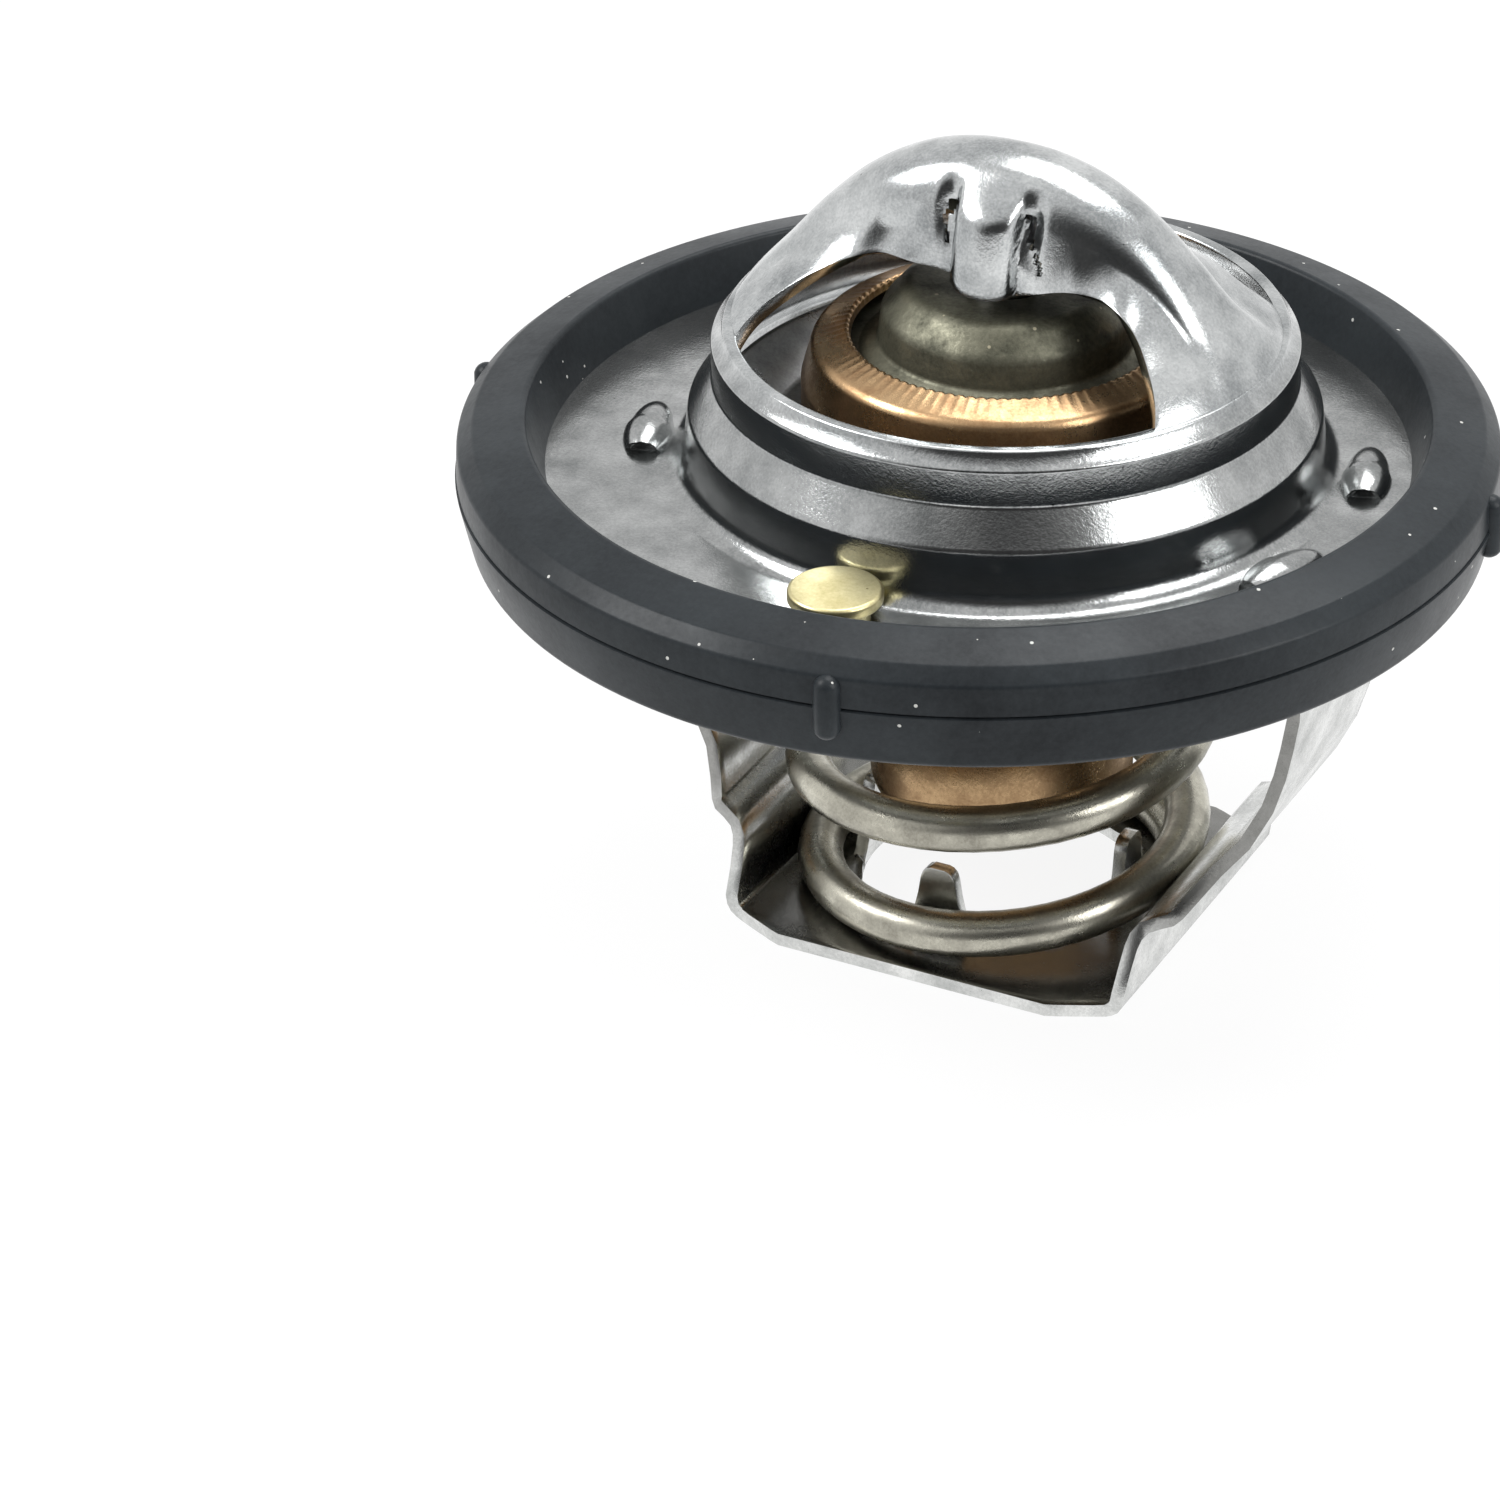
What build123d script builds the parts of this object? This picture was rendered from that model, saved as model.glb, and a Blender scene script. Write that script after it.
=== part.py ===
"""Engine thermostat: a rubber-rimmed flange with a bridge above it, a spring frame below it, and a
sliding wax element that carries the valve. Millimetres, +Z along the valve axis towards the bridge."""
import math
import os

from build123d import *

os.makedirs("parts", exist_ok=True)

# Driving dimensions. The rim seal is centred on X = Y = 0; the valve axis stands off it in X.
SHEET = 0.8                # gauge of every stamped sheet
AXIS_X = 1.77              # valve axis
SEAM_Z = 29.0              # parting line round the rubber rim

SEAL_R = 31.0              # rim seal, outside
SEAL_BOTTOM_R = 30.2
SEAL_BOTTOM_Z = 25.3
SEAL_LIP_R = 26.8
SEAL_LIP_Z = 32.6
SEAL_THROAT_R = 25.65
NUB_ANGLES = (10, 100, 190, 280)
NUB_WIDTH = 1.6
NUB_HEIGHT = 4.0
NUB_PROUD = 0.6

FLANGE_TOP = 29.4          # upper stamping
FLANGE_R = 29.0
COLLAR_R = 18.85
COLLAR_SHOULDER_Z = 33.0
NECK_R = 17.25
NECK_Z = 35.2
SILL_R = 16.65
SILL_Z = 38.4
ARCH_TOP = 48.9
LANCE_R = 21.4
LANCE_ANGLES = (-18, 18, 162, 198)

SOCKET_R = 3.3             # piston socket pinched into the bridge
SOCKET_BOTTOM_Z = 42.1
RIB_R = 1.9
RIB_FOOT = (4.1, 42.6)     # (Y, Z) of the rib's axis at its lower end, and where it meets the crown
RIB_HEAD = (1.6, 48.4)
STRAP_FLARE = 0.33         # how far the strap's turned-down edges spread, per mm down

PIN_X = AXIS_X - 0.26      # jiggle pin
PIN_Y = -21.7
PIN_HEAD_R = 2.7
PIN_SHANK_R = 1.1
PIN_HOLE_R = 1.5
PIN_LIFT = 1.5

CASE_R = 8.0               # wax case
CASE_BOTTOM_Z = 6.4
CASE_HEAD_R = 12.0
CASE_RIM_R = 9.15
CASE_RIM_Z = 38.2
PISTON_R = 2.3
PISTON_TOP_Z = 47.6
PISTON_BOTTOM_Z = 15.0
RUNNING_GAP = 0.05
GUIDE_R = 7.3
GUIDE_TOP_Z = 41.0

VALVE_R = 17.3             # valve plate
VALVE_Z = 30.4             # underside of its flat, where the spring bears
VALVE_TRAVEL = 8.0

WIRE_D = 2.8               # main spring
SPRING_R = 11.8
SPRING_END_R = 11.1
SPRING_START = 18          # angle of its lower end

BASE_HALF_Y = 12.7         # lower frame
BASE_HOLE_R = 8.5
TAB_IN_R = 8.1
TAB_TOP_Z = 5.2
LEG_TOP_Z = FLANGE_TOP - SHEET


def place(shape, name):
    """Move a piece from the valve axis into the part's frame and write it."""
    moved = Pos(AXIS_X, 0, 0) * shape
    write(moved, name)


def write(shape, name):
    solids = shape.solids()
    assert len(solids) == 1, (name, [(round(s.volume, 2), s.center()) for s in solids])
    export_step(solids[0], f"parts/{name}.step")
    print(f"{name}: {solids[0].volume:.1f} mm3")


def lathe(points):
    """Revolve a closed (radius, height) outline about Z."""
    outline = Polyline(*[(r, z) for r, z in points], close=True)
    face = make_face(Plane.XZ * outline)
    return revolve(face, Axis.Z)


def lathe_smooth(points, rounds):
    """Revolve an outline with chosen corners rounded: rounds maps a point's index to its radius."""
    outline = make_face(Polyline(*points, close=True))
    for index, radius in rounds.items():
        corner = Vector(*points[index], 0)
        near = outline.vertices().sort_by(lambda v: (Vector(v.X, v.Y, 0) - corner).length)[0]
        outline = fillet([near], radius)
        outline = make_face(outline.wires()[0]) if not isinstance(outline, Sketch) else outline
    return revolve(Plane.XZ * outline, Axis.Z)


# Rim seal: moulded rubber ring that grips the flange's edge in a groove.
seal = lathe_smooth(
    [
        (SEAL_THROAT_R + 0.3, SEAL_BOTTOM_Z),
        (SEAL_BOTTOM_R, SEAL_BOTTOM_Z),
        (SEAL_R, SEAM_Z),
        (SEAL_R - 0.25, 31.0),
        (SEAL_R - 1.2, 31.7),
        (SEAL_LIP_R, SEAL_LIP_Z),
        (SEAL_THROAT_R, FLANGE_TOP),
        (FLANGE_R, FLANGE_TOP),
        (FLANGE_R, FLANGE_TOP - SHEET),
        (SEAL_THROAT_R, FLANGE_TOP - SHEET),
    ],
    {1: 0.6, 3: 0.5, 4: 0.6, 5: 0.3},
)
for angle in NUB_ANGLES:
    nub = extrude(Plane.YZ * SlotOverall(NUB_HEIGHT, NUB_WIDTH, rotation=90), NUB_PROUD + 1.0)
    nub = fillet(nub.faces().sort_by(Axis.X)[-1].edges(), 0.35)
    seal += Rot(0, 0, angle) * Pos(SEAL_R - 1.0, 0, SEAM_Z) * nub
write(seal, "rim_seal")


# Upper stamping: flange, collar, neck and a dome whose two windows leave a bridge.
flange = Pos(0, 0, FLANGE_TOP - SHEET / 2) * Cylinder(FLANGE_R, SHEET)
flange -= Pos(AXIS_X, 0, FLANGE_TOP) * Cylinder(20.0, 4 * SHEET)
DOME = [
    (SILL_R, 38.0),
    (16.3, 38.8),
    (15.5, 39.8),
    (13.8, 41.5),
    (11.6, 43.75),
    (9.0, 46.05),
    (6.0, 47.8),
    (3.0, 48.69),
    (0, ARCH_TOP),
]
DOME_TANGENTS = [(-0.3, 1), (-1, 0)]


def dome_curve(drop):
    """Dome outline at a distance inside the outer skin, from the neck to the crown."""
    moved = []
    for i, (x, z) in enumerate(DOME):
        before = DOME[max(i - 1, 0)]
        after = DOME[min(i + 1, len(DOME) - 1)]
        dx, dz = (DOME_TANGENTS[0] if i == 0 else (after[0] - before[0], after[1] - before[1]))
        if i == len(DOME) - 1:
            dx, dz = -1, 0
        size = math.hypot(dx, dz)
        moved.append((x - dz / size * drop, z + dx / size * drop))
    return Spline(*moved, tangents=DOME_TANGENTS), moved[0], moved[-1]


skin, skin_foot, skin_top = dome_curve(0)
lining, lining_foot, lining_top = dome_curve(SHEET)
outline = make_face(
    [
        Polyline(
            lining_foot,
            (NECK_R - SHEET, 37.1),
            (NECK_R - SHEET, NECK_Z - 0.4),
            (COLLAR_R - SHEET, COLLAR_SHOULDER_Z - 0.4),
            (COLLAR_R - SHEET, FLANGE_TOP - SHEET),
            (20.4, FLANGE_TOP - SHEET),
            (20.4, FLANGE_TOP),
            (COLLAR_R + 0.1, FLANGE_TOP),
            (COLLAR_R, COLLAR_SHOULDER_Z),
            (NECK_R, NECK_Z),
            (NECK_R, 37.5),
            skin_foot,
        ),
        skin,
        Line(skin_top, lining_top),
        lining,
    ]
)
for r, z, radius in [
    (COLLAR_R + 0.1, FLANGE_TOP, 0.6),
    (COLLAR_R, COLLAR_SHOULDER_Z, 0.9),
    (NECK_R, NECK_Z, 0.6),
    (COLLAR_R - SHEET, COLLAR_SHOULDER_Z - 0.4, 0.6),
    (NECK_R - SHEET, NECK_Z - 0.4, 0.4),
    (COLLAR_R - SHEET, FLANGE_TOP - SHEET, 0.5),
]:
    corner = outline.vertices().sort_by_distance((r, z, 0))[0]
    outline = fillet([corner], radius)
shell = revolve(Plane.XZ * outline, Axis.Z)

# Half widths of the strap along its length, at the foot of the dome.
STRAP = [(0, 7.2), (5.6, 7.4), (8.0, 7.6), (10.5, 7.75), (12.7, 8.2), (14.2, 9.2), (15.7, 10.1), (17.6, 11.0)]
STRAP = [(-x, y) for x, y in reversed(STRAP[1:])] + STRAP
STRAP_LOW_Z = 36.0
STRAP_HIGH_Z = 52.0


def strap_plan(z, inset):
    """Plan of the strap at a height, its long sides moved in by an inset."""
    grow = STRAP_FLARE * (STRAP_LOW_Z - z) - inset
    far = Spline(*[(x, y + grow) for x, y in STRAP])
    near = Spline(*[(x, -y - grow) for x, y in STRAP])
    ends = [Line(far @ 0, near @ 0), Line(far @ 1, near @ 1)]
    return Pos(0, 0, z) * make_face([far, near] + ends)


def strap_block(inset):
    return loft([strap_plan(STRAP_LOW_Z, inset), strap_plan(STRAP_HIGH_Z, inset)], ruled=True)


strap = strap_block(0)
windows = extrude(Rectangle(60, 60), 20)
shell -= Pos(0, 0, SILL_Z) * windows - strap

# Turned-down edges of the strap, cut off along their lower edge. They start inside the sheet.
middle, middle_foot, middle_top = dome_curve(SHEET / 2)
dome_core = make_face(
    [
        Line((0, 36), (middle_foot[0], 36)),
        Line((middle_foot[0], 36), middle_foot),
        middle,
        Line(middle_top, (0, 36)),
    ]
)
dome_core = revolve(Plane.XZ * dome_core, Axis.Z)
EDGE_LINE = [(0, 42.9), (3.0, 43.2), (5.6, 43.7), (8.0, 43.6), (10.5, 42.4), (12.7, 40.0), (13.8, SILL_Z), (16.4, 37.4)]
EDGE_LINE = [(-x, z) for x, z in reversed(EDGE_LINE[1:])] + EDGE_LINE
above = make_face([Spline(*EDGE_LINE), Polyline(EDGE_LINE[-1], (16.4, 52), (-16.4, 52), EDGE_LINE[0])])
skirts = (strap_block(0.02) - strap_block(SHEET)) & dome_core & extrude(Plane.XZ * above, 20, both=True)
shell = shell + skirts

# Piston socket: the turned-down edges are pinched into a half-round rib on either side.
socket = Pos(0, 0, SOCKET_BOTTOM_Z) * extrude(Circle(SOCKET_R), ARCH_TOP - 0.9 - SOCKET_BOTTOM_Z)
for side in (-1, 1):
    foot = Pos(0, side * RIB_FOOT[0], RIB_FOOT[1]) * Circle(RIB_R)
    head = Pos(0, side * RIB_HEAD[0], RIB_HEAD[1]) * Circle(RIB_R)
    socket += loft([foot, head])
socket -= Pos(0, 0, SOCKET_BOTTOM_Z - 0.1) * extrude(Circle(PISTON_R + 0.1), PISTON_TOP_Z + 0.1 - SOCKET_BOTTOM_Z)
socket -= Pos(0, 0, SOCKET_BOTTOM_Z - 0.2) * Cone(SOCKET_R - 0.3, PISTON_R + 0.1, 1.6)
stamping = flange + Pos(AXIS_X, 0, 0) * (shell + (socket & dome_core))
bump = extrude(SlotOverall(5.8, 2.8, rotation=90), 1.9)
bump = fillet(bump.faces().sort_by(Axis.Z)[-1].edges(), 1.0)
bump -= extrude(SlotOverall(4.2, 1.2, rotation=90), 1.0)
for angle in LANCE_ANGLES:
    spot = Pos(AXIS_X, 0, FLANGE_TOP - SHEET) * Rot(0, 0, angle) * Pos(LANCE_R, 0, 0)
    stamping -= spot * extrude(SlotOverall(4.2, 1.2, rotation=90), 1.0)
    stamping += spot * bump
stamping -= Pos(PIN_X, PIN_Y, FLANGE_TOP) * Cylinder(PIN_HOLE_R, 6)
write(stamping, "upper_bridge")


# Jiggle pin: a loose vent pin that hangs by its shoulder in the flange.
pin = Pos(0, 0, FLANGE_TOP + 1.5) * Cylinder(PIN_HEAD_R, 0.8)
pin = fillet(pin.edges(), 0.25)
pin += Pos(0, 0, FLANGE_TOP + 0.62) * Cylinder(2.0, 1.2)
pin += Pos(0, 0, FLANGE_TOP - 1.4) * Cylinder(PIN_SHANK_R, 4.0)
pin += Pos(0, 0, FLANGE_TOP - 4.3) * Sphere(2.0)
write(Pos(PIN_X, PIN_Y, 0) * pin, "jiggle_pin")


# Valve plate: dished disc that the spring holds against the collar's shoulder.
plate = lathe_smooth(
    [
        (CASE_R + 0.1, VALVE_Z),
        (14.2, VALVE_Z),
        (VALVE_R, 32.3),
        (VALVE_R, 32.9),
        (VALVE_R - 0.5, 32.9),
        (13.9, VALVE_Z + SHEET),
        (CASE_R + 0.1, VALVE_Z + SHEET),
    ],
    {1: 0.8, 5: 0.8},
)
place(plate, "valve_plate")


# Wax case: one drawn copper cup, its wide mouth crimped over the guide's foot.
case = lathe_smooth(
    [
        (0, CASE_BOTTOM_Z),
        (CASE_R, CASE_BOTTOM_Z),
        (CASE_R, VALVE_Z + SHEET),
        (CASE_HEAD_R, VALVE_Z + SHEET),
        (CASE_HEAD_R, 35.0),
        (11.3, 37.5),
        (CASE_RIM_R, CASE_RIM_Z),
        (CASE_RIM_R, CASE_RIM_Z - 0.8),
        (10.6, 36.9),
        (CASE_HEAD_R - 0.9, 34.8),
        (CASE_HEAD_R - 0.9, 32.2),
        (CASE_R - 0.9, 32.2),
        (CASE_R - 0.9, CASE_BOTTOM_Z + 0.9),
        (0, CASE_BOTTOM_Z + 0.9),
    ],
    {1: 2.4, 3: 0.5, 5: 0.6, 12: 1.6},
)
place(case, "wax_case")


# Element guide: domed body with a running bore for the piston, its foot under the crimp.
guide = lathe_smooth(
    [
        (PISTON_R + RUNNING_GAP, 33.4),
        (CASE_HEAD_R - 1.0, 33.4),
        (CASE_HEAD_R - 1.0, 34.8),
        (10.4, 36.8),
        (8.6, 36.9),
        (GUIDE_R + 0.1, 37.6),
        (GUIDE_R, 39.6),
        (GUIDE_R - 1.6, GUIDE_TOP_Z),
        (PISTON_R + RUNNING_GAP, GUIDE_TOP_Z),
    ],
    {4: 0.3, 5: 0.3, 6: 1.0, 7: 1.0},
)
place(guide, "element_guide")


# Rubber sleeve: flexible boot clamped under the guide, round the piston's lower end.
sleeve = lathe(
    [
        (0, PISTON_BOTTOM_Z - 2.2),
        (4.0, PISTON_BOTTOM_Z - 2.2),
        (4.6, 32.3),
        (CASE_HEAD_R - 1.0, 32.3),
        (CASE_HEAD_R - 1.0, 33.3),
        (PISTON_R + 0.1, 33.3),
        (PISTON_R + 0.1, PISTON_BOTTOM_Z - 0.2),
        (0, PISTON_BOTTOM_Z - 0.2),
    ]
)
place(sleeve, "rubber_sleeve")


# Wax charge: the expanding wax between the sleeve and the case.
wax = lathe(
    [
        (0, CASE_BOTTOM_Z + 1.0),
        (CASE_R - 2.6, CASE_BOTTOM_Z + 1.0),
        (CASE_R - 1.0, CASE_BOTTOM_Z + 2.6),
        (CASE_R - 1.0, 32.1),
        (4.8, 32.1),
        (4.15, PISTON_BOTTOM_Z - 2.35),
        (0, PISTON_BOTTOM_Z - 2.35),
    ]
)
place(wax, "wax_charge")


# Piston: polished pin fixed in the bridge's socket; the element slides down it.
piston = Pos(0, 0, (PISTON_TOP_Z + PISTON_BOTTOM_Z) / 2) * Cylinder(PISTON_R, PISTON_TOP_Z - PISTON_BOTTOM_Z)
piston = chamfer(piston.edges().group_by(Axis.Z)[0], 0.8)
piston = chamfer(piston.edges().group_by(Axis.Z)[-1], 0.3)
place(piston, "piston")


# Main spring: round wire with closed ends, from the base plate up to the valve plate.
TURNS = 4.75
CLOSED_TURNS = 0.5         # each end lies flat for this many turns
EASE_TURNS = 0.3           # and takes this many more to reach the full pitch
GROW_TURNS = (0.6, 1.5)    # the coil opens out from its small lower end between these turns


def spring_height(turn):
    """Wire centre height after a number of turns."""
    low = SHEET + WIRE_D / 2 + 0.03
    high = VALVE_Z - WIRE_D / 2 - 0.03
    span = TURNS - 2 * CLOSED_TURNS
    share = min(max((turn - CLOSED_TURNS) / span, 0.0), 1.0)
    knee = EASE_TURNS / span
    if share < knee:
        share = share**2 / (2 * knee * (1 - knee))
    elif share > 1 - knee:
        share = 1 - (1 - share)**2 / (2 * knee * (1 - knee))
    else:
        share = (share - knee / 2) / (1 - knee)
    return low + (high - low) * share


def spring_radius(turn):
    """Coil radius after a number of turns."""
    share = min(max((turn - GROW_TURNS[0]) / (GROW_TURNS[1] - GROW_TURNS[0]), 0.0), 1.0)
    return SPRING_END_R + (SPRING_R - SPRING_END_R) * (3 * share**2 - 2 * share**3)


STEPS = 24
wire_points = []
for i in range(int(TURNS * STEPS) + 1):
    turn = i / STEPS
    angle = math.radians(SPRING_START + 360 * turn)
    radius = spring_radius(turn)
    wire_points.append((radius * math.cos(angle), radius * math.sin(angle), spring_height(turn)))
wire_path = Spline(*wire_points)
spring = sweep(Plane(wire_path @ 0, z_dir=wire_path % 0) * Circle(WIRE_D / 2), path=wire_path)
place(spring, "main_spring")


# Lower frame: one strip folded into a base and two legs whose ears hook under the flange.
LEG = [
    (0.0, 0.0),
    (12.2, 0.0),
    (12.95, 0.35),
    (13.3, 1.2),
    (13.4, 3.0),
    (13.55, 4.6),
    (14.1, 5.25),
    (15.5, 5.8),
    (17.0, 9.0),
    (18.3, 10.8),
    (21.3, 16.6),
    (22.0, 20.2),
    (22.0, LEG_TOP_Z),
]


def offset_leg(points, distance):
    """Leg outline moved inward by a distance, corner by corner."""
    moved = []
    for i, (x, z) in enumerate(points):
        before = points[max(i - 1, 0)]
        after = points[min(i + 1, len(points) - 1)]
        ax, az = x - before[0], z - before[1]
        bx, bz = after[0] - x, after[1] - z
        la, lb = math.hypot(ax, az) or 1, math.hypot(bx, bz) or 1
        ux, uz = ax / la + bx / lb, az / la + bz / lb
        size = math.hypot(ux, uz)
        nx, nz = -uz / size, ux / size
        turn = (ax * bx + az * bz) / (la * lb) if la and lb else 1
        grow = 1 / math.cos(math.acos(max(-1, min(1, turn))) / 2) if 0 < i < len(points) - 1 else 1
        moved.append((x + nx * distance * grow, z + nz * distance * grow))
    return moved


inner_leg = offset_leg(LEG, SHEET)
half_band = Polyline(*LEG, *reversed(inner_leg), close=True)
band = extrude(Plane.XZ * make_face(half_band), BASE_HALF_Y + 1, both=True)
LEG_OUTLINE = [
    (-BASE_HALF_Y, -1.0),
    (-11.2, 1.5),
    (-10.3, 3.0),
    (-9.5, 4.8),
    (-7.2, 8.6),
    (-6.4, 12.0),
    (-6.4, 24.0),
    (-8.6, 27.0),
    (-8.6, LEG_TOP_Z + 1),
]
outline = LEG_OUTLINE + [(-y, z) for y, z in reversed(LEG_OUTLINE)]
leg_mask = extrude(Plane.YZ * make_face(Polyline(*outline, close=True)), 40, both=False)
PLAN = [(0, -BASE_HALF_Y), (9.0, -BASE_HALF_Y), (12.2, -11.2), (30, -11.2), (30, 11.2), (12.2, 11.2), (9.0, BASE_HALF_Y)]
PLAN = PLAN + [(0, BASE_HALF_Y)]
plan_mask = extrude(make_face(Polyline(*PLAN, close=True)), 40)
half_frame = band & leg_mask & plan_mask
frame = half_frame + mirror(half_frame, Plane.YZ)
hole = Circle(BASE_HOLE_R) + [Rot(0, 0, a) * Pos(7.6, 0) * Circle(1.7) for a in (45, 135, 225, 315)]
frame -= extrude(hole, 2 * SHEET, both=True)
tab_face = make_face(
    Polyline((-2.6, 0), (2.6, 0), (2.3, 1.2), (1.3, TAB_TOP_Z), (-1.3, TAB_TOP_Z), (-2.3, 1.2), close=True)
)
tab_face = fillet(tab_face.vertices().group_by(Axis.Y)[-1], 0.9)
for angle in (0, 90, 180, 270):
    frame += Rot(0, 0, angle) * Pos(TAB_IN_R, 0, 0) * extrude(Plane.YZ * tab_face, SHEET)
write(Pos(AXIS_X, 0, 0) * frame, "lower_frame")
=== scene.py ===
# %% [markdown]
# An engine thermostat holds coolant back until it is warm. Here it is built as it is made: a
# stamped flange with a bridge, a rubber rim, a folded spring frame, and a wax element that slides.
# The solids of the part come first, as a frame. Every piece below is modelled over that frame, in
# metres and in the same place, so that nothing has to be fitted afterwards.

import math

import bmesh
import bpy
from mathutils import Matrix, Vector


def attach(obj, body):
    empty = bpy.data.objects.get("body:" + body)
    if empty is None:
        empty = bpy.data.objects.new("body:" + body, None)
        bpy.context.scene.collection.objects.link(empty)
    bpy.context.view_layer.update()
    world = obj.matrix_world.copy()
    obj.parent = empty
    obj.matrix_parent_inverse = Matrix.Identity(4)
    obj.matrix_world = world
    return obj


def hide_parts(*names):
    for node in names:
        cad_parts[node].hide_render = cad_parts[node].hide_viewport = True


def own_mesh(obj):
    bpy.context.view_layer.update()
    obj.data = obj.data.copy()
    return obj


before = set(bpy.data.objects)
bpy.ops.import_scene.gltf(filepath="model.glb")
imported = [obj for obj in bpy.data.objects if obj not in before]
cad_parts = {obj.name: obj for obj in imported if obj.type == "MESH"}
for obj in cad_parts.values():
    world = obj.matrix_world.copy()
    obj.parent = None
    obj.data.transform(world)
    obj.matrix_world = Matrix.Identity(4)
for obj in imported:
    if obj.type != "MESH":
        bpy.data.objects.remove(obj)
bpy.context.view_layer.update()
bpy.ops.object.select_all(action="DESELECT")

# %% [markdown]
# The drawing of the part is in millimetres and the scene is in metres, so one factor turns one
# into the other. The valve's axis stands a little off the centre of the rim, and most of the
# pieces turn about that axis.

# %% Shared sizes
MM = 0.001
SHEET = 0.8                # gauge of every stamped sheet
AXIS_X = 1.77              # valve axis
RIM_CENTRE = (0.0, 0.0)
VALVE_CENTRE = (AXIS_X, 0.0)
VALVE_HUB = (AXIS_X * MM, 0, 0)
SEAM_Z = 29.0              # parting line round the rubber rim
FLANGE_TOP = 29.4
FLANGE_BOTTOM = 28.6
PLATE_Z = 30.4             # underside of the valve plate, where the spring's upper end bears
TIP = 0.02                 # smallest radius of a turned outline: a ring of no size can't be scaled
print("gauge", SHEET, "mm, valve axis", AXIS_X, "mm off the rim's centre")

# %% [markdown]
# Three habits keep operators safe. Only one object is ever selected. Vertices are picked by their
# place, in code, because a new primitive comes selected all over. And a piece is finished with its
# modifiers applied and its origin at zero, so its place is in its mesh.

# %% Selecting
def select_only(piece):
    """Select one piece and make it the active one."""
    bpy.ops.object.select_all(action="DESELECT")
    piece.select_set(True)
    bpy.context.view_layer.objects.active = piece


def pick(keep, mode="VERT"):
    """In edit mode, select the vertices, edges or faces whose centre, in mm, passes a test."""
    bpy.ops.mesh.select_mode(type=mode)
    bpy.ops.mesh.select_all(action="DESELECT")
    mesh = bmesh.from_edit_mesh(bpy.context.edit_object.data)
    groups = {"VERT": mesh.verts, "EDGE": mesh.edges, "FACE": mesh.faces}
    chosen = 0
    for item in groups[mode]:
        if mode == "VERT":
            centre = item.co
        elif mode == "EDGE":
            centre = (item.verts[0].co + item.verts[1].co) / 2
        else:
            centre = item.calc_center_median()
        if keep(centre / MM):
            item.select_set(True)
            chosen += 1
    mesh.select_flush(True)
    bmesh.update_edit_mesh(bpy.context.edit_object.data)
    return chosen


print("selected now:", len(bpy.context.selected_objects), "objects")


# %% Finishing a piece
def apply_modifiers(piece):
    """Make a piece's modifiers part of its mesh, in their order."""
    select_only(piece)
    for modifier in list(piece.modifiers):
        bpy.ops.object.modifier_apply(modifier=modifier.name)


def finish_piece(piece, angle=35):
    """Apply modifiers and place, then smooth every edge flatter than the angle."""
    apply_modifiers(piece)
    bpy.ops.object.transform_apply(location=True, rotation=True, scale=True)
    bpy.ops.object.shade_smooth_by_angle(angle=math.radians(angle))
    print(piece.name, "faces", len(piece.data.polygons))


def copy_turned(piece, degrees, shift=(0, 0, 0)):
    """A copy with its own mesh, turned about the upright line through zero, then shifted, in mm."""
    copy = piece.copy()
    copy.data = piece.data.copy()
    bpy.context.collection.objects.link(copy)
    turn = Matrix.Rotation(math.radians(degrees), 4, "Z")
    copy.matrix_world = Matrix.Translation(Vector(shift) * MM) @ turn
    return copy


def join_into(piece, others):
    """Make the others part of one piece."""
    bpy.context.view_layer.update()
    select_only(piece)
    for other in others:
        other.select_set(True)
    bpy.ops.object.join()


# %% [markdown]
# Most of the part is turned or drawn round, so its outline says everything. An outline is a list
# of (radius, height) corners. Real sheet never bends on a knife edge, so chosen corners are first
# replaced by short arcs. The outline is then walked ring by ring: extrude, then scale.

# %% Outlines and turned pieces
def round_corners(points, radii, steps=5):
    """Replace corners of a (radius, height) outline by arcs: radii maps index to arc radius."""
    result = []
    for index, point in enumerate(points):
        if index not in radii:
            result.append(point)
            continue
        here = Vector(point)
        back = (Vector(points[index - 1]) - here).normalized()
        ahead = (Vector(points[(index + 1) % len(points)]) - here).normalized()
        half = math.acos(max(-1.0, min(1.0, back.dot(ahead)))) / 2
        reach = radii[index] / math.tan(half)
        centre = here + (back + ahead).normalized() * (radii[index] / math.sin(half))
        first = here + back * reach - centre
        last = here + ahead * reach - centre
        for step in range(steps + 1):
            share = step / steps
            arm = first.lerp(last, share).normalized() * radii[index]
            result.append(tuple(centre + arm))
    return result


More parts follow.
